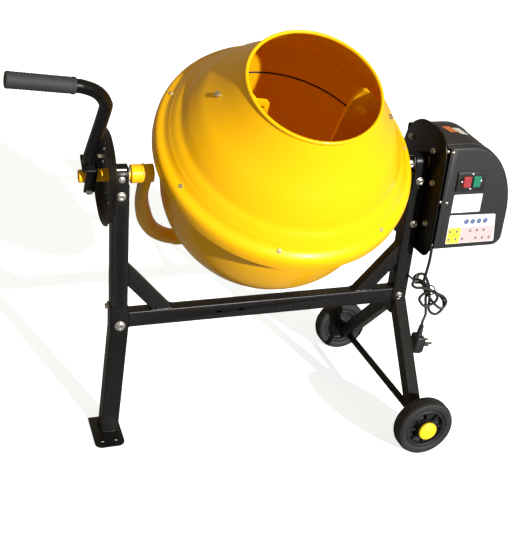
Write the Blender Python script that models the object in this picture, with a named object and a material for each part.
"""Portable electric concrete mixer.

A steel drum turns on a spindle in a U-shaped yoke.  The yoke tilts on two
trunnions carried by an upright frame with one foot and two wheels.  A ring
gear under the drum's skirt is turned by a pinion on the tilt axis, which is
driven by a belt from a motor inside the side box.

Metres, +Z up.  +X runs from the tilting handle (left) to the motor box
(right), and the drum mouth leans towards -Y (front).  The origin is on the
floor, under the middle of the machine's overall box.
"""
import math
import bpy
import bmesh
from mathutils import Matrix, Vector

# ------------------------------------------------------------ shared dimensions
# In the yoke and drum frames, "s" is the height along the drum's axis.
GAP = 0.0003                    # clearance between neighbouring pieces
CENTRE_X = -0.01469             # middle of the overall box, seen from mid-post
CENTRE_Y = -0.00464
TILT_Z = 0.613                  # height of the tilt axis
TILT = math.radians(35.4)       # drum lean from vertical at rest
POST_X = 0.3336                 # half the distance between the two posts
POST_WIDTH = 0.036
TUBE_WALL = 0.002
TUBE_CORNER = 0.003             # size of a box tube's outer corner
SLEEVE_WIDTH = 0.040            # left leg tube, which sleeves the post
BOLT_HOLE_R = 0.0043            # holes for the frame and handle bolts
AXLE_X = 0.3184
AXLE_R = 0.008
WHEEL_R = 0.0677
WHEEL_Y = 0.232
TRUNNION_R = 0.013              # handle-side tube
STUB_R = 0.015                  # motor-side tube
SHAFT_R = 0.007                 # pinion shaft
PIN_HEIGHT = 0.065              # lock pin's distance from the tilt axis
PIVOT_X = -0.3945               # handle pivot
PIVOT_S = -0.0215
PANEL_X = 0.3530                # motor back plate, left face
PANEL_X1 = PANEL_X + 0.004      # and right face
STUB_END = PANEL_X1 + 0.0060
PULLEY_X = 0.3790
PULLEY_R = 0.050
MOTOR_Y = 0.012
MOTOR_Z = 0.492
GEAR_PITCH_S = 0.0392           # pitch plane over the tilt axis

# -------------------------------------------------------------------- materials
# finish: (linear colour, roughness, metallic)
FINISHES = {
    "yellow_paint": ((0.95, 0.66, 0.01), 0.30, 0.0),
    "black_paint": ((0.012, 0.012, 0.012), 0.42, 0.0),
    "zinc": ((0.72, 0.72, 0.70), 0.32, 1.0),
    "bare_steel": ((0.45, 0.45, 0.46), 0.40, 1.0),
    "cast_iron": ((0.10, 0.10, 0.10), 0.60, 0.8),
    "black_plastic": ((0.035, 0.036, 0.040), 0.50, 0.0),
    "rubber": ((0.020, 0.020, 0.020), 0.75, 0.0),
    "yellow_plastic": ((0.95, 0.62, 0.01), 0.40, 0.0),
    "red_plastic": ((0.55, 0.02, 0.03), 0.35, 0.0),
    "green_plastic": ((0.01, 0.32, 0.16), 0.35, 0.0),
    "nylon": ((0.70, 0.68, 0.60), 0.55, 0.0),
}


def make_material(piece_name, finish):
    colour, roughness, metallic = FINISHES[finish]
    material = bpy.data.materials.new(piece_name + "_" + finish)
    material.use_nodes = True
    inputs = material.node_tree.nodes["Principled BSDF"].inputs
    inputs["Base Color"].default_value = (*colour, 1.0)
    inputs["Roughness"].default_value = roughness
    inputs["Metallic"].default_value = metallic
    material.diffuse_color = (*colour, 1.0)
    return material


# --------------------------------------------------------------- scene skeleton
def add_object(name, data, parent):
    thing = bpy.data.objects.new(name, data)
    bpy.context.scene.collection.objects.link(thing)
    thing.parent = parent
    return thing


def empty(name, parent=None, location=(0, 0, 0), rotation=(0, 0, 0)):
    axis = add_object(name, None, parent)
    axis.location = location
    axis.rotation_euler = rotation
    axis.empty_display_size = 0.05
    return axis


for old in list(bpy.data.objects):
    bpy.data.objects.remove(old, do_unlink=True)

MACHINE = empty("axis_machine", None, (-CENTRE_X, -CENTRE_Y, 0))
# frame of the yoke and drum: X along the tilt axis, Z along the drum
YOKE = empty("axis_tilt", MACHINE, (0, 0, TILT_Z), (TILT, 0, 0))
DRUM = empty("axis_drum", YOKE)
PINION = empty("axis_pinion", YOKE)
HANDLE = empty("axis_handle", YOKE, (PIVOT_X, 0, PIVOT_S))
MOTOR = empty("axis_motor", MACHINE, (0, MOTOR_Y, MOTOR_Z))
WHEEL_FRONT = empty("axis_wheel_front", MACHINE, (AXLE_X, -WHEEL_Y, WHEEL_R))
WHEEL_REAR = empty("axis_wheel_rear", MACHINE, (AXLE_X, WHEEL_Y, WHEEL_R))


# ------------------------------------------------------------- pieces and cuts
def solid_mesh(name, shape):
    """Turn a bmesh into a mesh whose faces point outwards, and free it."""
    bmesh.ops.remove_doubles(shape, verts=shape.verts, dist=1e-6)
    bmesh.ops.recalc_face_normals(shape, faces=shape.faces)
    if shape.calc_volume(signed=True) < 0:
        bmesh.ops.reverse_faces(shape, faces=shape.faces)
    mesh = bpy.data.meshes.new(name)
    shape.to_mesh(mesh)
    shape.free()
    return mesh


def shade(mesh):
    mesh.shade_smooth()
    mesh.set_sharp_from_angle(angle=math.radians(35))


def place(name, shape, finish, parent):
    """Turn a bmesh into one named object with its own material."""
    mesh = solid_mesh(name, shape)
    mesh.materials.append(make_material(name, finish))
    shade(mesh)
    return add_object(name, mesh, parent)


def combine(piece, tools, operation):
    """Apply Boolean tools (bmesh, in the piece's own frame) one after another."""
    for shape in tools:
        tool = add_object("tool", solid_mesh("tool", shape), piece.parent)
        modifier = piece.modifiers.new("cut", "BOOLEAN")
        modifier.operation = operation
        modifier.solver = "EXACT"
        modifier.object = tool
        bpy.context.view_layer.update()
        graph = bpy.context.evaluated_depsgraph_get()
        result = bpy.data.meshes.new_from_object(piece.evaluated_get(graph))
        piece.modifiers.remove(modifier)
        piece.data = result
        bpy.data.objects.remove(tool, do_unlink=True)
    # clear the slivers that the Booleans leave
    shape = bmesh.new()
    shape.from_mesh(piece.data)
    bmesh.ops.remove_doubles(shape, verts=shape.verts, dist=2e-6)
    bmesh.ops.dissolve_degenerate(shape, edges=shape.edges, dist=1e-6)
    shape.to_mesh(piece.data)
    shape.free()
    shade(piece.data)


def cut(piece, *tools):
    combine(piece, tools, "DIFFERENCE")


def weld(piece, *tools):
    combine(piece, tools, "UNION")


# ------------------------------------------------------------------- placements
TO_X = Matrix.Rotation(math.radians(90), 4, "Y")       # local Z -> +X
TO_REAR = Matrix.Rotation(math.radians(-90), 4, "X")   # local Z -> +Y
TO_FRONT = Matrix.Rotation(math.radians(90), 4, "X")   # local Z -> -Y
# an outline in (Y, Z), extruded along +X
YZ_OUTLINE = Matrix(((0, 0, 1, 0), (1, 0, 0, 0), (0, 1, 0, 0), (0, 0, 0, 1)))
# an outline in (X, Z), extruded along -Y
XZ_OUTLINE = Matrix(((1, 0, 0, 0), (0, 0, -1, 0), (0, 1, 0, 0), (0, 0, 0, 1)))


def move(x, y, z):
    return Matrix.Translation((x, y, z))


def aim(direction, origin):
    """Matrix that carries +Z onto a direction and the origin onto a point."""
    turn = Vector(direction).normalized().to_track_quat("Z", "Y")
    return Matrix.Translation(origin) @ turn.to_matrix().to_4x4()


# --------------------------------------------------------------- flat outlines
def arc(centre, radius, start, end, steps, radius_y=None):
    """Points on an arc from start to end, in degrees, both ends included."""
    if radius_y is None:
        radius_y = radius
    angles = [math.radians(start + (end - start) * k / steps) for k in range(steps + 1)]
    return [(centre[0] + radius * math.cos(angle), centre[1] + radius_y * math.sin(angle))
            for angle in angles]


def offset_line(points, distance):
    """Offset an open line to its left-hand side."""
    moved = []
    for i, (x, y) in enumerate(points):
        normals = []
        for first in (i - 1, i):
            if first < 0 or first + 1 >= len(points):
                continue
            run_x = points[first + 1][0] - points[first][0]
            run_y = points[first + 1][1] - points[first][1]
            length = math.hypot(run_x, run_y)
            normals.append((-run_y / length, run_x / length))
        mean_x = sum(normal[0] for normal in normals)
        mean_y = sum(normal[1] for normal in normals)
        length = math.hypot(mean_x, mean_y)
        mean_x, mean_y = mean_x / length, mean_y / length
        # the mitre is limited to twice the offset
        reach = distance / max(mean_x * normals[0][0] + mean_y * normals[0][1], 0.5)
        moved.append((x + mean_x * reach, y + mean_y * reach))
    return moved


# ---------------------------------------------------------------------- shapes
def block(x0, x1, y0, y1, z0, z1, bevel=0.0, segments=1):
    shape = bmesh.new()
    bmesh.ops.create_cube(shape, size=1.0)
    bmesh.ops.scale(shape, vec=(x1 - x0, y1 - y0, z1 - z0), verts=shape.verts)
    middle = ((x0 + x1) / 2, (y0 + y1) / 2, (z0 + z1) / 2)
    bmesh.ops.translate(shape, vec=middle, verts=shape.verts)
    if bevel:
        bmesh.ops.bevel(shape, geom=list(shape.edges), offset=bevel, segments=segments,
                        affect="EDGES", profile=0.5)
    return shape


def turned(profile, steps, matrix=None):
    """Spin a (radius, height) profile about Z.

    A profile that starts on the axis also ends there; any other one is closed
    into a ring."""
    shape = bmesh.new()
    verts = [shape.verts.new((radius, 0, z)) for radius, z in profile]
    edges = [shape.edges.new(pair) for pair in zip(verts, verts[1:])]
    if profile[0][0] > 0:
        edges.append(shape.edges.new((verts[-1], verts[0])))
    bmesh.ops.spin(shape, geom=verts + edges, cent=(0, 0, 0), axis=(0, 0, 1),
                   angle=2 * math.pi, steps=steps, use_merge=True)
    bmesh.ops.remove_doubles(shape, verts=shape.verts, dist=1e-6)
    bmesh.ops.dissolve_degenerate(shape, edges=shape.edges, dist=1e-7)
    if matrix is not None:
        bmesh.ops.transform(shape, matrix=matrix, verts=shape.verts)
    return shape


def rod(radius, z0, z1, steps=16, matrix=None, chamfer=0.0):
    side = [(radius, z0), (radius, z1)]
    if chamfer:
        side = [(radius - chamfer, z0), (radius, z0 + chamfer),
                (radius, z1 - chamfer), (radius - chamfer, z1)]
    return turned([(0, z0), *side, (0, z1)], steps, matrix)


def pipe(outer, inner, z0, z1, steps=24, matrix=None):
    return turned([(inner, z0), (outer, z0), (outer, z1), (inner, z1)], steps, matrix)


def prism(outline, z0, z1, matrix=None):
    """Extrude a flat outline along Z."""
    shape = bmesh.new()
    face = shape.faces.new([shape.verts.new((x, y, z0)) for x, y in outline])
    extruded = bmesh.ops.extrude_face_region(shape, geom=[face])
    top = [item for item in extruded["geom"] if isinstance(item, bmesh.types.BMVert)]
    bmesh.ops.translate(shape, vec=(0, 0, z1 - z0), verts=top)
    bmesh.ops.recalc_face_normals(shape, faces=shape.faces)
    if matrix is not None:
        bmesh.ops.transform(shape, matrix=matrix, verts=shape.verts)
    return shape


def join(parts):
    """Put several bmesh shells in one bmesh, for use as one Boolean tool."""
    mesh = bpy.data.meshes.new("join")
    joined = bmesh.new()
    for part in parts:
        part.to_mesh(mesh)
        joined.from_mesh(mesh)
        part.free()
    bpy.data.meshes.remove(mesh)
    return joined


def add_rings(shape, rings):
    return [[shape.verts.new(point) for point in ring] for ring in rings]


def bridge(shape, ring, following):
    """Join two equal rings of vertices with a band of quads."""
    count = len(ring)
    for i in range(count):
        j = (i + 1) % count
        shape.faces.new((ring[i], ring[j], following[j], following[i]))


def skin(rings, loop=False):
    """Bridge equal rings of points, capped at both ends or run in a loop."""
    shape = bmesh.new()
    rows = add_rings(shape, rings)
    for ring, following in zip(rows, rows[1:]):
        bridge(shape, ring, following)
    if loop:
        bridge(shape, rows[-1], rows[0])
    else:
        shape.faces.new(list(reversed(rows[0])))
        shape.faces.new(rows[-1])
    bmesh.ops.recalc_face_normals(shape, faces=shape.faces)
    return shape


def hollow(outer_rings, inner_rings):
    """Wall between an outer and an inner skin; the bore is open at both ends."""
    shape = bmesh.new()
    outer, inner = add_rings(shape, outer_rings), add_rings(shape, inner_rings)
    for rows in (outer, inner):
        for ring, following in zip(rows, rows[1:]):
            bridge(shape, ring, following)
    for end in (0, -1):
        bridge(shape, outer[end], inner[end])
    bmesh.ops.recalc_face_normals(shape, faces=shape.faces)
    return shape


def tangents(path):
    padded = [path[0], *path, path[-1]]
    return [(after - before).normalized() for before, after in zip(padded, padded[2:])]


def round_wire(path, radius, sides):
    """Carry a round section along a path without twist."""
    runs = tangents(path)
    start = Vector((0, 0, 1)) if abs(runs[0].z) < 0.9 else Vector((0, 1, 0))
    normal = (start - runs[0] * start.dot(runs[0])).normalized()
    angles = [2 * math.pi * k / sides for k in range(sides)]
    rings = []
    for point, run in zip(path, runs):
        normal = (normal - run * normal.dot(run)).normalized()
        across = run.cross(normal)
        rings.append([point + (normal * math.cos(angle) + across * math.sin(angle)) * radius
                      for angle in angles])
    return skin(rings)


def smooth_path(points, steps):
    """Catmull-Rom curve through the points, with some steps between each two."""
    points = [Vector(point) for point in points]
    padded = [points[0], *points, points[-1]]
    path = []
    for p0, p1, p2, p3 in zip(padded, padded[1:], padded[2:], padded[3:]):
        for k in range(steps):
            t = k / steps
            path.append(0.5 * ((2 * p1) + (p2 - p0) * t
                               + (2 * p0 - 5 * p1 + 4 * p2 - p3) * t * t
                               + (3 * p1 - p0 - 3 * p2 + p3) * t ** 3))
    path.append(points[-1])
    return path


def chamfered_section(width, depth, corner):
    x, y = width / 2, depth / 2
    return [(x, y - corner), (x - corner, y), (corner - x, y), (-x, y - corner),
            (-x, corner - y), (corner - x, -y), (x - corner, -y), (x, corner - y)]


def box_tube(points, side, width, depth, wall, start_cut=None, end_cut=None):
    """Rectangular tube, open at both ends, mitred along a bent centre line.

    side is the direction in which width is measured; start_cut and end_cut are
    the normals of the end planes, square to the tube if not given."""
    points = [Vector(point) for point in points]
    runs = [(end - start).normalized() for start, end in zip(points, points[1:])]
    side = Vector(side).normalized()
    inner_corner = max(TUBE_CORNER - wall, 0.0006)
    sections = (chamfered_section(width, depth, TUBE_CORNER),
                chamfered_section(width - 2 * wall, depth - 2 * wall, inner_corner))
    skins = ([], [])
    last = len(points) - 1
    for i, point in enumerate(points):
        run = runs[min(i, last - 1)]
        across = (side - run * side.dot(run)).normalized()
        upward = run.cross(across)
        plane = run
        if 0 < i < last:
            plane = runs[i - 1] + runs[i]
        elif i == 0 and start_cut:
            plane = Vector(start_cut)
        elif i == last and end_cut:
            plane = Vector(end_cut)
        for section, rings in zip(sections, skins):
            offsets = [across * x + upward * y for x, y in section]
            rings.append([point + offset - run * (offset.dot(plane) / run.dot(plane))
                          for offset in offsets])
    return hollow(*skins)


def hexagon(radius, z):
    angles = [math.radians(60 * k) for k in range(6)]
    return [Vector((radius * math.cos(angle), radius * math.sin(angle), z)) for angle in angles]


def hex_bolt(across, head, shank_radius, shank, matrix):
    """Hexagon-head bolt: head from z=0 to z=head, shank below z=0."""
    corner = across / math.sqrt(3)
    shape = skin([hexagon(shank_radius, -shank), hexagon(shank_radius, 0), hexagon(corner, 0),
                  hexagon(corner, 0.76 * head), hexagon(0.86 * corner, head)])
    bmesh.ops.transform(shape, matrix=matrix, verts=shape.verts)
    return shape


def front_bolt(name, across, head, shank, x, y, z, parent=MACHINE):
    """Bolt along Y with its head towards the front."""
    place(name, hex_bolt(across, head, 0.0040, shank, move(x, y, z) @ TO_FRONT), "zinc", parent)


def bolt_hole(x, z, reach=0.03):
    """Cutter for a bolt hole along Y."""
    return rod(BOLT_HOLE_R, -reach, reach, 12, move(x, 0, z) @ TO_REAR)


# ======================================================================= frame
POST_TOP = TILT_Z - 0.0190
LEFT_POST_BOTTOM = 0.2620
RIGHT_POST_BOTTOM = 0.2400


def build_post(name, x, bottom):
    tube = box_tube([(x, 0, bottom), (x, 0, POST_TOP)], (1, 0, 0),
                    POST_WIDTH, POST_WIDTH, TUBE_WALL)
    return place(name, tube, "black_paint", MACHINE)


BAR_Z = 0.286                   # crossbar centre height
BAR_HEIGHT = 0.038
BAR_DEPTH = 0.030
POST_INNER_X = POST_X - POST_WIDTH / 2
GUSSET_TOP_Z = 0.3915
GUSSET_RUN = 0.0765             # how far a gusset reaches in from the post
SLOT_XS = (-0.110, -0.060)


def build_crossbar():
    """Bar between the left sleeve and the right post, with its two gussets."""
    ends = [(-(POST_X - SLEEVE_WIDTH / 2 - GAP), 0, BAR_Z), (POST_INNER_X - GAP, 0, BAR_Z)]
    crossbar = place("crossbar", box_tube(ends, (0, 0, 1), BAR_HEIGHT, BAR_DEPTH, TUBE_WALL),
                     "black_paint", MACHINE)
    # two small slots through the front wall
    cut(crossbar, *[block(x - 0.006, x + 0.006, -BAR_DEPTH / 2 - 0.0015,
                          -BAR_DEPTH / 2 + TUBE_WALL + 0.0005, BAR_Z - 0.0025, BAR_Z + 0.0025)
                    for x in SLOT_XS])
    # the gussets' lower ends sink into the bar's top wall
    gussets = []
    for side in (-1, 1):
        top = (side * (POST_INNER_X - GAP), 0, GUSSET_TOP_Z)
        low = (side * (POST_INNER_X - GUSSET_RUN), 0, BAR_Z + BAR_HEIGHT / 2 - TUBE_WALL / 2)
        gussets.append(box_tube([top, low], (0, 1, 0), 0.026, 0.034, TUBE_WALL,
                                (1, 0, 0), (0, 0, 1)))
    weld(crossbar, *gussets)


FOOT_THICKNESS = 0.004
FOOT_X0, FOOT_X1 = -POST_X - 0.059, -POST_X + 0.007
FOOT_Y0, FOOT_Y1 = -0.073, 0.040
FOOT_CORNER = 0.016
FOOT_HOLE_R = 0.004
FOOT_HOLE_INSET = 0.018         # from the plate's left and right edges
LEG_LEAN = 0.020                # the leg leans out by this much
SLEEVE_TOP = 0.3180
SLEEVE_WALL = 0.0017
LEG_BOLT_X = -POST_X + 0.0010
LEG_BOLT_Z = 0.2765


def build_left_leg(left_post):
    """Leg sleeved over the left post, held by one bolt."""
    path = [(-POST_X, 0, SLEEVE_TOP), (-POST_X, 0, LEFT_POST_BOTTOM),
            (-POST_X - LEG_LEAN, 0, FOOT_THICKNESS + GAP)]
    leg = place("left_leg", box_tube(path, (1, 0, 0), SLEEVE_WIDTH, SLEEVE_WIDTH, SLEEVE_WALL,
                                     (0, 0, 1), (0, 0, 1)), "black_paint", MACHINE)
    for piece in (leg, left_post):
        cut(piece, bolt_hole(LEG_BOLT_X, LEG_BOLT_Z))
    front_bolt("leg_bolt", 0.016, 0.0060, 0.0430, LEG_BOLT_X, -SLEEVE_WIDTH / 2 - GAP, LEG_BOLT_Z)


def build_foot_plate():
    """Plate with rounded front corners and two holes near them."""
    corner_y = FOOT_Y0 + FOOT_CORNER
    outline = [(FOOT_X0, FOOT_Y1),
               *arc((FOOT_X0 + FOOT_CORNER, corner_y), FOOT_CORNER, 180, 270, 4),
               *arc((FOOT_X1 - FOOT_CORNER, corner_y), FOOT_CORNER, 270, 360, 4),
               (FOOT_X1, FOOT_Y1)]
    plate = place("foot_plate", prism(outline, 0, FOOT_THICKNESS), "black_paint", MACHINE)
    cut(plate, *[prism(arc((x, FOOT_Y0 + 0.020), FOOT_HOLE_R, 0, 315, 7),
                       -0.001, FOOT_THICKNESS + 0.001)
                 for x in (FOOT_X0 + FOOT_HOLE_INSET, FOOT_X1 - FOOT_HOLE_INSET)])


WHEEL_LEG_TOP_Z = 0.262
WHEEL_LEG_WIDTH = 0.030
WHEEL_LEG_AXLE_Y = 0.190        # where the leg's centre line meets the axle
WHEEL_LEG_OVERRUN = 0.012       # leg length beyond the axle
AXLE_END = WHEEL_Y + 0.0185


def build_wheel_leg(name, side):
    """Leg from the right post down to the axle; side is -1 front, 1 rear."""
    top = Vector((POST_X, side * (POST_WIDTH / 2 + GAP), WHEEL_LEG_TOP_Z))
    axle = Vector((AXLE_X, side * WHEEL_LEG_AXLE_Y, WHEEL_R))
    end = axle + (axle - top).normalized() * WHEEL_LEG_OVERRUN
    leg = place(name, box_tube([top, end], (1, 0, 0), WHEEL_LEG_WIDTH, WHEEL_LEG_WIDTH,
                               TUBE_WALL, (0, 1, 0)), "black_paint", MACHINE)
    cut(leg, rod(AXLE_R + GAP, *sorted((side * 0.150, side * 0.230)), 20,
                 move(AXLE_X, 0, WHEEL_R) @ TO_REAR))


def build_axle():
    place("axle", rod(AXLE_R, -AXLE_END, AXLE_END, 20, move(AXLE_X, 0, WHEEL_R) @ TO_REAR,
                      chamfer=0.001), "bare_steel", MACHINE)


# wheel profiles: (radius, distance outwards from the wheel's middle plane)
HUB_BORE_R = AXLE_R + GAP
WHEEL_HALF = 0.018
SHOULDER = WHEEL_HALF - 0.0070
HUB_PROFILE = [
    (HUB_BORE_R, -0.0195), (0.0150, -0.0195), (0.0155, -0.0040), (0.0390, -0.0040),
    (0.0405, -0.0150), (0.0470, -0.0150), (0.0470, 0.0150), (0.0420, 0.0150),
    (0.0385, 0.0040), (0.0230, 0.0020), (0.0185, 0.0190), (HUB_BORE_R, 0.0190)]
TYRE_PROFILE = [
    (0.0475, -0.0148), (0.0520, -WHEEL_HALF), (0.0620, -WHEEL_HALF), (WHEEL_R, -SHOULDER),
    (WHEEL_R, SHOULDER), (0.0620, WHEEL_HALF), (0.0520, WHEEL_HALF), (0.0475, 0.0148)]
HUB_CAP_PROFILE = [
    (0, 0.0193), (0.0178, 0.0193), (0.0185, 0.0200), (0.0185, 0.0240), (0.0160, 0.0268),
    (0, 0.0285)]


def build_wheel(side, parent, outward):
    """Hub on the axle, tyre round it and a cap on the outer face."""
    place(side + "_wheel_hub", turned(HUB_PROFILE, 20, outward), "black_plastic", parent)
    place(side + "_tyre", turned(TYRE_PROFILE, 32, outward), "rubber", parent)
    place(side + "_hub_cap", turned(HUB_CAP_PROFILE, 20, outward), "yellow_plastic", parent)


# ------------------------------------------------ trunnion bearings and straps
BUSH_R = 0.0180
STRAP_IN_R = BUSH_R + GAP
STRAP_OUT_R = STRAP_IN_R + 0.003
STRAP_FOOT = 0.554 - TILT_Z     # lower edge, from the tilt axis
STRAP_BOLT_Z = 0.5735


def build_bearing(side, x, post, tube_radius):
    """Bush on top of a post, held down by a bolted U-shaped strap."""
    centre = move(x, 0, TILT_Z)
    place(side + "_trunnion_bush",
          pipe(BUSH_R, tube_radius + GAP, -0.0165, 0.0165, 24, centre @ TO_X), "nylon", MACHINE)
    outline = [(STRAP_OUT_R, STRAP_FOOT), *arc((0, 0), STRAP_OUT_R, 0, 180, 12),
               (-STRAP_OUT_R, STRAP_FOOT), (-STRAP_IN_R, STRAP_FOOT),
               *arc((0, 0), STRAP_IN_R, 180, 0, 12), (STRAP_IN_R, STRAP_FOOT)]
    strap = place(side + "_bearing_strap", prism(outline, -0.0150, 0.0150, centre @ YZ_OUTLINE),
                  "black_paint", MACHINE)
    for piece in (strap, post):
        cut(piece, bolt_hole(x, STRAP_BOLT_Z))
    front_bolt(side + "_strap_bolt", 0.013, 0.0055, 0.0480, x, -STRAP_OUT_R - GAP, STRAP_BOLT_Z)


# -------------------------------------------------------- handle-side lock disc
DISC_X = -POST_X - 0.0203       # web face nearer the post
DISC_WEB = 0.0022
DISC_BORE_R = TRUNNION_R + 0.0012
DISC_HOLES = 12
DISC_HOLE_R = 0.0072
# the pin dips slightly as it swings in
DISC_HOLE_CIRCLE = PIN_HEIGHT - 0.0018
# (radius, distance towards the post from the web's outer face)
DISC_PROFILE = [
    (DISC_BORE_R, 0), (0.0900, 0), (0.0955, -0.0030), (0.0990, -0.0125), (0.1030, -0.0148),
    (0.1060, -0.0115), (0.1035, -0.0120), (0.1012, -0.0105), (0.0975, -0.0005),
    (0.0905, DISC_WEB), (DISC_BORE_R, DISC_WEB)]


def build_lock_disc():
    profile = [(radius, height - DISC_WEB) for radius, height in DISC_PROFILE]
    disc = place("lock_disc", turned(profile, 36, move(DISC_X, 0, TILT_Z) @ TO_X),
                 "black_paint", MACHINE)
    holes = []
    for k in range(DISC_HOLES):
        angle = TILT + 2 * math.pi * k / DISC_HOLES
        centre = move(DISC_X, -DISC_HOLE_CIRCLE * math.sin(angle),
                      TILT_Z + DISC_HOLE_CIRCLE * math.cos(angle))
        holes.append(rod(DISC_HOLE_R, -0.02, 0.02, 8, centre @ TO_X))
    cut(disc, join(holes))


# =================================================================== motor box
MOTOR_R = 0.050
TAB_HALF = 0.045                # half the width of the motor tab
TAB_END_X = 0.500
PANEL_OUTLINE = [               # (Y, Z)
    (-0.050, 0.405), (0.113, 0.405), (0.113, 0.620), (0.100, 0.655), (0.075, 0.683),
    (0.045, 0.6965), (0.015, 0.6995), (-0.020, 0.694), (-0.050, 0.678), (-0.070, 0.652),
    (-0.076, 0.620), (-0.076, 0.437)]


def build_back_plate():
    plate = place("motor_back_plate", prism(PANEL_OUTLINE, PANEL_X, PANEL_X1, YZ_OUTLINE),
                  "black_paint", MACHINE)
    # tab bent out of the plate to carry the motor
    motor_bottom = MOTOR_Z - MOTOR_R
    weld(plate, block(PANEL_X + 0.001, TAB_END_X, MOTOR_Y - TAB_HALF, MOTOR_Y + TAB_HALF,
                      motor_bottom - 0.0045, motor_bottom - 0.0010))
    cut(plate, rod(STUB_R + 0.0012, -0.01, 0.01, 20, move(PANEL_X, 0, TILT_Z) @ TO_X))


COVER_OPEN_X = PANEL_X1 + GAP   # open side, against the back plate
COVER_X1 = 0.5324
COVER_FRONT, COVER_REAR = -0.080, 0.108
COVER_Z0, COVER_Z1 = 0.430, 0.670
COVER_WALL = 0.003
COVER_CORNER = 0.025            # lower corner radius
CURVE_X, CURVE_Z = 0.4250, 0.5550   # centre of the elliptical upper corner
COVER_OUTLINE = [               # (X, Z), anticlockwise
    (COVER_OPEN_X, COVER_Z0),
    *arc((COVER_X1 - COVER_CORNER, COVER_Z0 + COVER_CORNER), COVER_CORNER, -90, 0, 4),
    *arc((CURVE_X, CURVE_Z), COVER_X1 - CURVE_X, 0, 90, 10, radius_y=COVER_Z1 - CURVE_Z),
    (COVER_OPEN_X, COVER_Z1)]
SWITCH_X, SWITCH_Z = 0.4234, 0.592
CABLE_X, CABLE_Y = 0.3735, -0.055   # where the cable leaves the cover


def cover_body():
    shape = prism(COVER_OUTLINE, -COVER_REAR, -COVER_FRONT)

    def on_open_side(edge):
        return all(abs(vert.co.x - COVER_OPEN_X) < 1e-5 for vert in edge.verts)

    rim = [edge for edge in shape.edges
           if abs(edge.verts[0].co.z - edge.verts[1].co.z) < 1e-6 and not on_open_side(edge)]
    bmesh.ops.bevel(shape, geom=rim, offset=0.006, segments=2, affect="EDGES", profile=0.5)
    bmesh.ops.transform(shape, matrix=XZ_OUTLINE, verts=shape.verts)
    return shape


def cover_cavity():
    """Inside of the cover, run out through its open side."""
    outline = offset_line(COVER_OUTLINE, COVER_WALL)
    for end in (0, -1):
        outline[end] = (PANEL_X1 - 0.01, outline[end][1])
    return prism(outline, -COVER_REAR + COVER_WALL, -COVER_FRONT - COVER_WALL, XZ_OUTLINE)


def build_cover():
    cover = place("motor_cover", cover_body(), "black_plastic", MACHINE)
    cut(cover, cover_cavity(),
        block(SWITCH_X - 0.0290, SWITCH_X + 0.0290, COVER_FRONT - 0.01, COVER_FRONT + 0.01,
              SWITCH_Z - 0.0170, SWITCH_Z + 0.0170),
        rod(0.0062, -0.02, 0.02, 12, move(CABLE_X, CABLE_Y, COVER_Z0)))


BUTTON_HALF_X, BUTTON_HALF_Z = 0.0095, 0.0125
BUTTON_GAP = 0.0005
BUTTONS = (                     # name, X from the switch centre, finish
    ("stop_button", -0.0120, "red_plastic"),
    ("start_button", 0.0120, "green_plastic"))


def build_switch():
    """Housing set in the cover's front face, with two push buttons."""
    housing = place("switch_housing",
                    block(SWITCH_X - 0.0350, SWITCH_X + 0.0350, COVER_FRONT - 0.0043,
                          COVER_FRONT - GAP, SWITCH_Z - 0.0225, SWITCH_Z + 0.0225, 0.0012, 1),
                    "black_plastic", MACHINE)
    weld(housing, block(SWITCH_X - 0.0280, SWITCH_X + 0.0280, COVER_FRONT - 0.0020,
                        COVER_FRONT + 0.0250, SWITCH_Z - 0.0160, SWITCH_Z + 0.0160))
    half_x, half_z = BUTTON_HALF_X + BUTTON_GAP, BUTTON_HALF_Z + BUTTON_GAP
    for name, offset, finish in BUTTONS:
        x = SWITCH_X + offset
        cut(housing, block(x - half_x, x + half_x, COVER_FRONT - 0.0100, COVER_FRONT + 0.0100,
                           SWITCH_Z - half_z, SWITCH_Z + half_z))
        axis = empty("axis_" + name, MACHINE, (x, COVER_FRONT, SWITCH_Z))
        place(name, block(-BUTTON_HALF_X, BUTTON_HALF_X, -0.0085, 0.0055,
                          -BUTTON_HALF_Z, BUTTON_HALF_Z, 0.0012, 2), finish, axis)


MOTOR_PULLEY_R = 0.009
MOTOR_SHAFT_R = 0.0045
# motor and pulley profiles: (radius, X)
MOTOR_PROFILE = [
    (0, 0.392), (0.020, 0.392), (0.022, 0.396), (0.046, 0.398), (MOTOR_R, 0.402),
    (MOTOR_R, 0.486), (0.046, 0.494), (0.030, 0.498), (0, 0.499)]
MOTOR_PULLEY_PROFILE = [
    (0, 0.3700), (MOTOR_PULLEY_R, 0.3700), (MOTOR_PULLEY_R, 0.3875),
    (MOTOR_SHAFT_R, 0.3875), (MOTOR_SHAFT_R, 0.4110), (0, 0.4110)]


def build_motor():
    motor = place("motor", turned(MOTOR_PROFILE, 28, TO_X), "cast_iron", MOTOR)
    cut(motor, rod(MOTOR_SHAFT_R + GAP, 0.380, 0.412, 12, TO_X))
    place("motor_pulley", turned(MOTOR_PULLEY_PROFILE, 20, TO_X), "bare_steel", MOTOR)


def belt_outline(lift):
    """Tangent loop round both pulleys, in (Y, Z), lifted off their rims."""
    driven, driver = Vector((0, TILT_Z)), Vector((MOTOR_Y, MOTOR_Z))
    driven_radius, driver_radius = PULLEY_R + lift, MOTOR_PULLEY_R + lift
    line = driver - driven
    base = math.degrees(math.atan2(line.y, line.x))
    wrap = math.degrees(math.acos((driven_radius - driver_radius) / line.length))
    return (arc(driven, driven_radius, base + wrap, base + 360 - wrap, 24)
            + arc(driver, driver_radius, base - wrap, base + wrap, 8))


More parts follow.
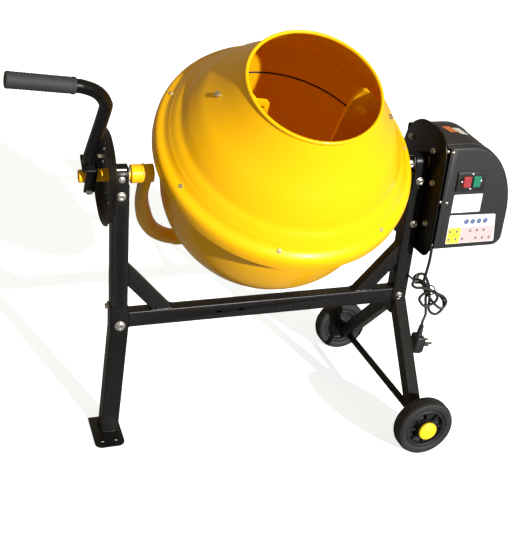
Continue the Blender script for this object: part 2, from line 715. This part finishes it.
def build_belt():
    x0, x1 = PULLEY_X - 0.005, PULLEY_X + 0.005
    rings = [[Vector((x0, *outer)), Vector((x1, *outer)), Vector((x1, *inner)),
              Vector((x0, *inner))]
             for outer, inner in zip(belt_outline(0.0036), belt_outline(0.0008))]
    place("drive_belt", skin(rings, loop=True), "rubber", MACHINE)


COIL_CENTRE = Vector((0.4347, 0.030, 0.2680))
COIL_LONG = Vector((0.824, 0, -0.567))      # long axis of the coil's loops
COIL_SHORT = Vector((0.567, 0, 0.824))
COIL_TURNS = 3
COIL_STEPS = 14                 # per turn
COIL_PITCH = 0.0098             # along +Y
PLUG_TOP = Vector((0.4430, 0.040, 0.165))


def coil_path():
    """Flattened loops, narrower across their middle than an ellipse would be wide."""
    path = []
    for k in range(COIL_TURNS * COIL_STEPS + 1):
        angle = math.radians(90) + 2 * math.pi * k / COIL_STEPS
        width = 0.0120 + 0.0140 * math.cos(angle) ** 2
        path.append(COIL_CENTRE + COIL_LONG * (0.076 * math.cos(angle))
                    + COIL_SHORT * (width * math.sin(angle))
                    + Vector((0, COIL_PITCH * (k / COIL_STEPS - 1.0), 0)))
    return path


def build_cable():
    """Lead down from the cover, coil, and tail down to the plug."""
    coil = coil_path()
    lead = smooth_path([
        (CABLE_X, CABLE_Y, COVER_Z0 + 0.012), (CABLE_X, CABLE_Y, COVER_Z0 - 0.010),
        (0.3740, -0.049, 0.385), (0.3790, -0.030, 0.340), (0.3980, 0.000, 0.306),
        coil[0] + Vector((-0.010, -0.005, 0.008))], 3)
    tail = smooth_path([
        coil[-1] + Vector((0.013, 0.0035, -0.006)), (0.4680, 0.0640, 0.262),
        (0.4620, 0.066, 0.235), (0.4530, 0.056, 0.205),
        PLUG_TOP + Vector((0.001, 0.001, 0.012)), PLUG_TOP], 3)
    place("power_cable", round_wire(lead + coil + tail, 0.0036, 6), "rubber", MACHINE)


PLUG_PROFILE = [                # (radius, height)
    (0, 0), (0.0055, 0), (0.0060, -0.004), (0.0068, -0.020), (0.0120, -0.030),
    (0.0175, -0.038), (0.0185, -0.050), (0.0180, -0.066), (0.0140, -0.074), (0, -0.0755)]
PLUG_PINS = ((-0.0095, -0.0460), (0.0095, -0.0460), (0.0, -0.0580))    # (Y, height)


def build_plug():
    """Plug hanging from the cable, with its pins pointing to +X."""
    frame = (Matrix.Translation(PLUG_TOP - Vector((0, 0, 0.0018)))
             @ Matrix.Rotation(math.radians(7), 4, "Y"))
    plug = place("power_plug", turned(PLUG_PROFILE, 20, frame), "black_plastic", MACHINE)
    weld(plug, *[rod(0.0024, 0.006, 0.0370, 8, frame @ move(0, y, z) @ TO_X)
                 for y, z in PLUG_PINS])


# ========================================================== yoke and trunnions
YOKE_WALL = 0.0020
ARM_X = 0.2785                  # yoke arm centre
# one half of the yoke, from arm top to bottom run:
# (x, s, thickness in the yoke's plane, width across it)
YOKE_ARM = [
    (ARM_X, 0.0200, 0.0240, 0.0400), (ARM_X, 0.0000, 0.0240, 0.0400),
    (ARM_X, -0.0600, 0.0240, 0.0410), (0.2730, -0.1100, 0.0300, 0.0380),
    (0.2605, -0.1620, 0.0345, 0.0350), (0.2490, -0.1940, 0.0350, 0.0350),
    (0.2310, -0.2260, 0.0350, 0.0350), (0.2030, -0.2520, 0.0350, 0.0350),
    (0.1740, -0.2650, 0.0350, 0.0350), (0.1400, -0.2705, 0.0350, 0.0350)]
YOKE_SIDES = 12                 # points round the oval section
TRUNNION_END = -POST_X - 0.0735
COLLAR_R = 0.019                # collar where a trunnion meets its arm
COLLAR_X0, COLLAR_X1 = 0.2660, 0.2925
HUB_TOP, HUB_BOTTOM = -0.2475, -0.2925      # spindle hub, heights s
DRAIN_X = 0.110


def yoke_rings(inset):
    stations = [(-x, s, thick, wide) for x, s, thick, wide in YOKE_ARM] + YOKE_ARM[::-1]
    centres = [Vector((station[0], 0, station[1])) for station in stations]
    angles = [2 * math.pi * k / YOKE_SIDES for k in range(YOKE_SIDES)]
    rings = []
    for centre, run, station in zip(centres, tangents(centres), stations):
        normal = Vector((run.z, 0, -run.x))
        half_thick, half_wide = station[2] / 2 - inset, station[3] / 2 - inset
        rings.append([centre + normal * (half_thick * math.cos(angle))
                      + Vector((0, half_wide * math.sin(angle), 0)) for angle in angles])
    return rings


def trunnion(side, radius, end):
    """Solid trunnion with its collar; side is -1 left, 1 right."""
    inner, outer = side * COLLAR_X0, side * COLLAR_X1
    return turned([(0, inner), (COLLAR_R, inner), (COLLAR_R, outer), (radius, outer),
                   (radius, end), (0, end)], 24, TO_X)


def build_yoke():
    yoke = place("yoke", hollow(yoke_rings(0.0), yoke_rings(YOKE_WALL)), "yellow_paint", YOKE)
    weld(yoke, trunnion(-1, TRUNNION_R, TRUNNION_END), trunnion(1, STUB_R, STUB_END),
         rod(0.0220, HUB_BOTTOM, HUB_TOP, 24))
    # bores of the two trunnions and the hub, then two drain holes below
    cut(yoke, rod(0.0105, TRUNNION_END - 0.01, -0.2700, 20, TO_X),
        rod(0.0113, 0.2600, STUB_END + 0.01, 20, TO_X),
        rod(0.0163, -0.30, -0.24, 24),
        *[rod(0.0035, -0.30, -0.275, 8, move(x, 0, 0)) for x in (-DRAIN_X, DRAIN_X)])
    return yoke


def build_yoke_bearings():
    place("pinion_bush", pipe(0.0110, SHAFT_R + GAP, 0.2665, STUB_END - 0.0005, 20, TO_X),
          "nylon", YOKE)
    place("spindle_bearing", pipe(0.0160, 0.0123, -0.2920, -0.2480, 24), "bare_steel", YOKE)


# ------------------------- pinion, shaft and driven pulley, on the tilt axis
PULLEY_BORE_R = SHAFT_R + GAP
PULLEY_PROFILE = [              # (radius, X from the pulley's middle)
    (PULLEY_BORE_R, -0.0090), (0.0140, -0.0090), (0.0145, -0.0030), (0.0430, -0.0030),
    (0.0440, -0.0060), (PULLEY_R, -0.0060), (PULLEY_R, 0.0060), (0.0440, 0.0060),
    (0.0430, 0.0030), (0.0145, 0.0030), (0.0140, 0.0090), (PULLEY_BORE_R, 0.0090)]
PINION_TEETH = 10
PINION_TIP_R = GEAR_PITCH_S + 0.0040
PINION_ROOT_R = GEAR_PITCH_S - 0.0052
PINION_PITCH = 2 * math.pi / PINION_TEETH
PINION_ROOT_HALF = PINION_PITCH * 0.225 * 1.45      # half angles of a tooth
PINION_TIP_HALF = PINION_PITCH * 0.115


def build_pinion_shaft():
    place("pinion_shaft", rod(SHAFT_R, 0.2480, PULLEY_X + 0.0140, 16, TO_X, chamfer=0.0008),
          "bare_steel", PINION)
    place("driven_pulley", turned(PULLEY_PROFILE, 28, move(PULLEY_X, 0, 0) @ TO_X),
          "black_plastic", PINION)


def build_pinion():
    """Straight-flanked pinion; its top tooth fills a gap in the ring gear."""
    outline = []
    for k in range(PINION_TEETH):
        middle = PINION_PITCH * k + math.pi / 2
        for radius, offset in ((PINION_ROOT_R, -PINION_ROOT_HALF),
                               (PINION_TIP_R, -PINION_TIP_HALF),
                               (PINION_TIP_R, PINION_TIP_HALF),
                               (PINION_ROOT_R, PINION_ROOT_HALF)):
            angle = middle + offset
            outline.append((radius * math.cos(angle), radius * math.sin(angle)))
    pinion = place("pinion", prism(outline, 0.2505, 0.2635, YZ_OUTLINE), "cast_iron", PINION)
    cut(pinion, rod(SHAFT_R + GAP, 0.24, 0.28, 16, TO_X))


# ======================================================================== drum
DRUM_WALL = 0.0022
DRUM_STEPS = 36
DRUM_BOTTOM = -0.236
BELLY_R = 0.243
MOUTH_R = 0.1349
MOUTH_S = 0.2705
BEAD_R = 0.0038                 # rolled bead round the mouth
# drum profiles: (radius, s)
CONE_OUTER = [                  # mouth to skirt
    (MOUTH_R + 0.0020, 0.2665), (0.1590, 0.2200), (0.1790, 0.1930), (0.1975, 0.1700),
    (0.2235, 0.1300), (0.2377, 0.1050), (0.2493, 0.0900), (0.2590, 0.0795),
    (0.2640, 0.0710), (0.2723, 0.0480)]
LOWER_OUTER = [                 # floor to belly
    (0, DRUM_BOTTOM), (0.1020, DRUM_BOTTOM), (0.1400, -0.2280), (0.1720, -0.2050),
    (0.2030, -0.1650), (0.2290, -0.1100), (0.2400, -0.0500), (BELLY_R, 0.0000)]
LOWER_FLANGE = [                # conical flange under the upper drum's shoulder
    (BELLY_R, 0.0865), (0.2535, 0.0757), (0.2552, 0.0776), (BELLY_R - DRUM_WALL, 0.0906)]


def build_upper_drum():
    bead = arc((MOUTH_R, MOUTH_S), BEAD_R, -20, 190, 3)
    profile = CONE_OUTER[::-1] + bead + offset_line(CONE_OUTER, -DRUM_WALL)
    return place("upper_drum", turned(profile, DRUM_STEPS), "yellow_paint", DRUM)


def build_lower_drum():
    inner = offset_line(LOWER_OUTER, DRUM_WALL)
    inner[0] = (0, inner[0][1])
    profile = LOWER_OUTER + LOWER_FLANGE + inner[::-1]
    return place("lower_drum", turned(profile, DRUM_STEPS), "yellow_paint", DRUM)


RING_TEETH = 66
RING_ROOT_S = 0.0455
RING_TIP_S = GEAR_PITCH_S - 0.0042
RING_PROFILE = [                # (radius, s)
    (0.2462, RING_ROOT_S), (0.2655, RING_ROOT_S), (0.2655, 0.0520), (0.2560, 0.0565),
    (0.2560, 0.0706), (0.2530, 0.0742), (0.2462, 0.0808)]
TOOTH_R0, TOOTH_R1 = 0.2500, 0.2635
# (height s, half angle) at the sunken root and at the tip
TOOTH_LEVELS = ((RING_ROOT_S + 0.0010, math.pi / RING_TEETH * 0.66),
                (RING_TIP_S, math.pi / RING_TEETH * 0.27))
TOOTH_FACES = ((0, 1, 2, 3), (7, 6, 5, 4), (0, 4, 5, 1), (1, 5, 6, 2), (2, 6, 7, 3), (3, 7, 4, 0))


def ring_teeth():
    """Face teeth pointing down, with a gap centred on +X."""
    shape = bmesh.new()
    for k in range(RING_TEETH):
        middle = 2 * math.pi * (k + 0.5) / RING_TEETH
        verts = []
        for s, half in TOOTH_LEVELS:
            for radius, sign in ((TOOTH_R0, -1), (TOOTH_R1, -1), (TOOTH_R1, 1), (TOOTH_R0, 1)):
                angle = middle + sign * half
                verts.append(shape.verts.new((radius * math.cos(angle),
                                              radius * math.sin(angle), s)))
        for corners in TOOTH_FACES:
            shape.faces.new([verts[i] for i in corners])
    return shape


def build_ring_gear():
    """Ring with a conical land under the lower drum's flange."""
    ring = place("ring_gear", turned(RING_PROFILE, 40), "cast_iron", DRUM)
    weld(ring, ring_teeth())
    return ring


FLANGE_BOLTS = 7
FLANGE_BOLT_PHASE = math.radians(46.3)
FLANGE_BOLT_R, FLANGE_BOLT_S = 0.2547, 0.0841       # bolt head seat
FLANGE_NORMAL_R, FLANGE_NORMAL_S = 0.743, 0.669     # bolt direction


def build_flange_bolts(*layers):
    """Bolts through the upper drum's shoulder, the flange and the ring gear."""
    seats = []
    for k in range(FLANGE_BOLTS):
        angle = FLANGE_BOLT_PHASE + 2 * math.pi * k / FLANGE_BOLTS
        radial = Vector((math.cos(angle), math.sin(angle), 0))
        normal = radial * FLANGE_NORMAL_R + Vector((0, 0, FLANGE_NORMAL_S))
        seat = radial * FLANGE_BOLT_R + Vector((0, 0, FLANGE_BOLT_S))
        seats.append(aim(normal, seat))
        place("flange_bolt_%d" % (k + 1),
              hex_bolt(0.010, 0.0042, 0.0025, 0.0095, aim(normal, seat + normal * 0.0004)),
              "zinc", DRUM)
    for layer in layers:
        cut(layer, join([rod(0.0029, -0.0120, 0.004, 8, seat) for seat in seats]))


SPINDLE_TIP = -0.2990
SPINDLE_PROFILE = [             # (radius, s): flange under the floor, journal, tip
    (0, DRUM_BOTTOM - GAP), (0.0450, DRUM_BOTTOM - GAP), (0.0450, DRUM_BOTTOM - 0.0050),
    (0.0200, DRUM_BOTTOM - 0.0100), (0.0120, DRUM_BOTTOM - 0.0100), (0.0120, HUB_BOTTOM),
    (0.0070, HUB_BOTTOM), (0.0070, SPINDLE_TIP), (0, SPINDLE_TIP)]


def build_spindle():
    place("drum_spindle", turned(SPINDLE_PROFILE, 24), "bare_steel", DRUM)
    # six steps make the nut's hexagon
    nut = place("spindle_nut", rod(0.0165, SPINDLE_TIP, -0.2930, 6), "zinc", DRUM)
    cut(nut, rod(0.0075, -0.31, -0.28, 20))


BLADE_ANGLES = (math.radians(169.5), math.radians(349.5))
BLADE_OUTLINE = [               # (radius, s)
    # along the drum wall, from the top down
    (0.1575, 0.2140), (0.1755, 0.1890), (0.1925, 0.1650), (0.2165, 0.1310),
    (0.2260, 0.1060), (0.2330, 0.0900), (0.2330, 0.0000), (0.2300, -0.0500),
    (0.2180, -0.1120), (0.2070, -0.1400), (0.1920, -0.1660),
    # free edge, from the bottom up
    (0.1560, -0.1560), (0.1520, -0.1000), (0.1450, -0.0200), (0.1360, 0.0700),
    (0.1250, 0.1500), (0.1260, 0.1950), (0.1350, 0.2120)]
BLADE_SEAT = Vector((0.1700, 0, 0.2045))            # bolt's place on the cone
BLADE_NORMAL = Vector((0.815, 0, 0.580)).normalized()
TAB_DEPTH = DRUM_WALL + 0.0018


def build_blade(number, angle, upper_drum):
    """Plate standing on the inside wall, bolted through the cone."""
    turn = Matrix.Rotation(angle, 4, "Z")
    blade = place("mixing_blade_%d" % number,
                  prism(BLADE_OUTLINE, -0.0015, 0.0015, turn @ XZ_OUTLINE),
                  "yellow_paint", DRUM)
    # fixing tab, parallel to the cone, on the blade's outer edge
    seat = turn @ aim(BLADE_NORMAL, BLADE_SEAT)
    tab = block(-0.012, 0.012, -0.012, 0.012, -TAB_DEPTH - 0.0045, -TAB_DEPTH)
    bmesh.ops.transform(tab, matrix=seat, verts=tab.verts)
    weld(blade, tab)
    for piece in (blade, upper_drum):
        cut(piece, rod(0.0034, -0.0200, 0.01, 10, seat))
    raised = turn @ aim(BLADE_NORMAL, BLADE_SEAT + BLADE_NORMAL * 0.0012)
    place("blade_bolt_%d" % number, hex_bolt(0.012, 0.0050, 0.0030, 0.0120, raised),
          "zinc", DRUM)


# ====================================================================== handle
def handle_point(x, height):
    """Point in the handle's frame, whose origin is on the pivot.

    x is measured from the left post's centre, height from the tilt axis."""
    return Vector((x - POST_X - PIVOT_X, 0, height - PIVOT_S))


def build_pivot(yoke):
    """Lug under the left trunnion, with the pivot bolt and its spring."""
    weld(yoke, block(PIVOT_X - 0.0065, PIVOT_X + 0.0065, -0.0070, 0.0070,
                     PIVOT_S - 0.0075, -0.0120))
    cut(yoke, bolt_hole(PIVOT_X, PIVOT_S, reach=0.02))
    front_bolt("handle_pivot_bolt", 0.013, 0.0055, 0.0440, 0, -0.0212, 0, parent=HANDLE)
    turns, steps, radius, pitch = 4, 10, 0.0062, 0.0020
    path = []
    for k in range(turns * steps + 1):
        angle = 2 * math.pi * k / steps
        path.append(Vector((radius * math.cos(angle), 0.0084 + pitch * k / steps,
                            radius * math.sin(angle))))
    place("handle_spring", round_wire(path, 0.0007, 5), "bare_steel", HANDLE)


def build_fork():
    """Upside-down U that straddles the trunnion tube."""
    fork = place("handle_fork", block(-0.0110, 0.0110, -0.0205, 0.0205, -0.0090,
                                      0.0450 - PIVOT_S), "black_paint", HANDLE)
    cut(fork, block(-0.02, 0.02, -0.0175, 0.0175, -0.02, 0.0405 - PIVOT_S))
    cut(fork, bolt_hole(0, 0))


# handle tube, fork to tip: (x from the left post, height over the tilt axis)
HANDLE_LINE = [
    (-0.0605, 0.0458), (-0.0605, 0.0540), (-0.0598, 0.0800), (-0.0500, 0.2020),
    (-0.0530, 0.2290), (-0.0700, 0.2520), (-0.0960, 0.2640), (-0.1150, 0.2684),
    (-0.2220, 0.2917)]
GRIP_BORE_R = 0.0126
GRIP_END_WALL = 0.0022
GRIP_GROOVES = 5
GRIP_GROOVE_PITCH = 0.022


def build_handle_tube():
    path = smooth_path([handle_point(x, height) for x, height in HANDLE_LINE], 2)
    place("handle_tube", round_wire(path, 0.0122, 14), "black_paint", HANDLE)


def build_grip():
    """Grooved sleeve over the tube's end, closed at the tip."""
    start, end = handle_point(-0.1050, 0.2662), handle_point(-0.2250, 0.2923)
    length = (end - start).length
    profile = [(GRIP_BORE_R, 0.0), (0.0165, 0.0), (0.0172, 0.003), (0.0165, 0.006)]
    for k in range(GRIP_GROOVES):
        z = 0.012 + k * GRIP_GROOVE_PITCH
        profile += [(0.0160, z), (0.0149, z + 0.008)]
    profile += [(0.0164, length - 0.004), (0.0150, length), (0.0, length),
                (0.0, length - GRIP_END_WALL), (GRIP_BORE_R, length - GRIP_END_WALL)]
    place("handle_grip", turned(profile, 16, aim(end - start, start)), "rubber", HANDLE)


LOCK_PIN_PROFILE = [            # (radius, x from the left post)
    (0, -0.0470), (0.0062, -0.0470), (0.0062, -0.0430), (0.0040, -0.0425),
    (0.0040, -0.0275), (0.0030, -0.0262), (0, -0.0262)]


def build_lock_pin():
    profile = [(radius, x - POST_X - PIVOT_X) for radius, x in LOCK_PIN_PROFILE]
    place("lock_pin", turned(profile, 12, move(0, 0, PIN_HEIGHT - PIVOT_S) @ TO_X),
          "zinc", HANDLE)


# ==================================================================== assembly
def build_frame():
    left_post = build_post("left_post", -POST_X, LEFT_POST_BOTTOM)
    right_post = build_post("right_post", POST_X, RIGHT_POST_BOTTOM)
    build_crossbar()
    build_foot_plate()
    build_wheel_leg("wheel_leg_front", -1)
    build_wheel_leg("wheel_leg_rear", 1)
    build_axle()
    build_wheel("front", WHEEL_FRONT, TO_FRONT)
    build_wheel("rear", WHEEL_REAR, TO_REAR)
    build_bearing("left", -POST_X, left_post, TRUNNION_R)
    build_bearing("right", POST_X, right_post, STUB_R)
    build_left_leg(left_post)
    build_lock_disc()


def build_motor_box():
    build_back_plate()
    build_cover()
    build_switch()
    build_motor()
    build_belt()
    build_cable()
    build_plug()


def build_drum():
    upper_drum = build_upper_drum()
    lower_drum = build_lower_drum()
    ring_gear = build_ring_gear()
    build_flange_bolts(upper_drum, lower_drum, ring_gear)
    build_spindle()
    for number, angle in enumerate(BLADE_ANGLES, start=1):
        build_blade(number, angle, upper_drum)


def build_handle(yoke):
    build_pivot(yoke)
    build_fork()
    build_handle_tube()
    build_grip()
    build_lock_pin()


build_frame()
build_motor_box()
mixer_yoke = build_yoke()
build_yoke_bearings()
build_pinion_shaft()
build_pinion()
build_drum()
build_handle(mixer_yoke)
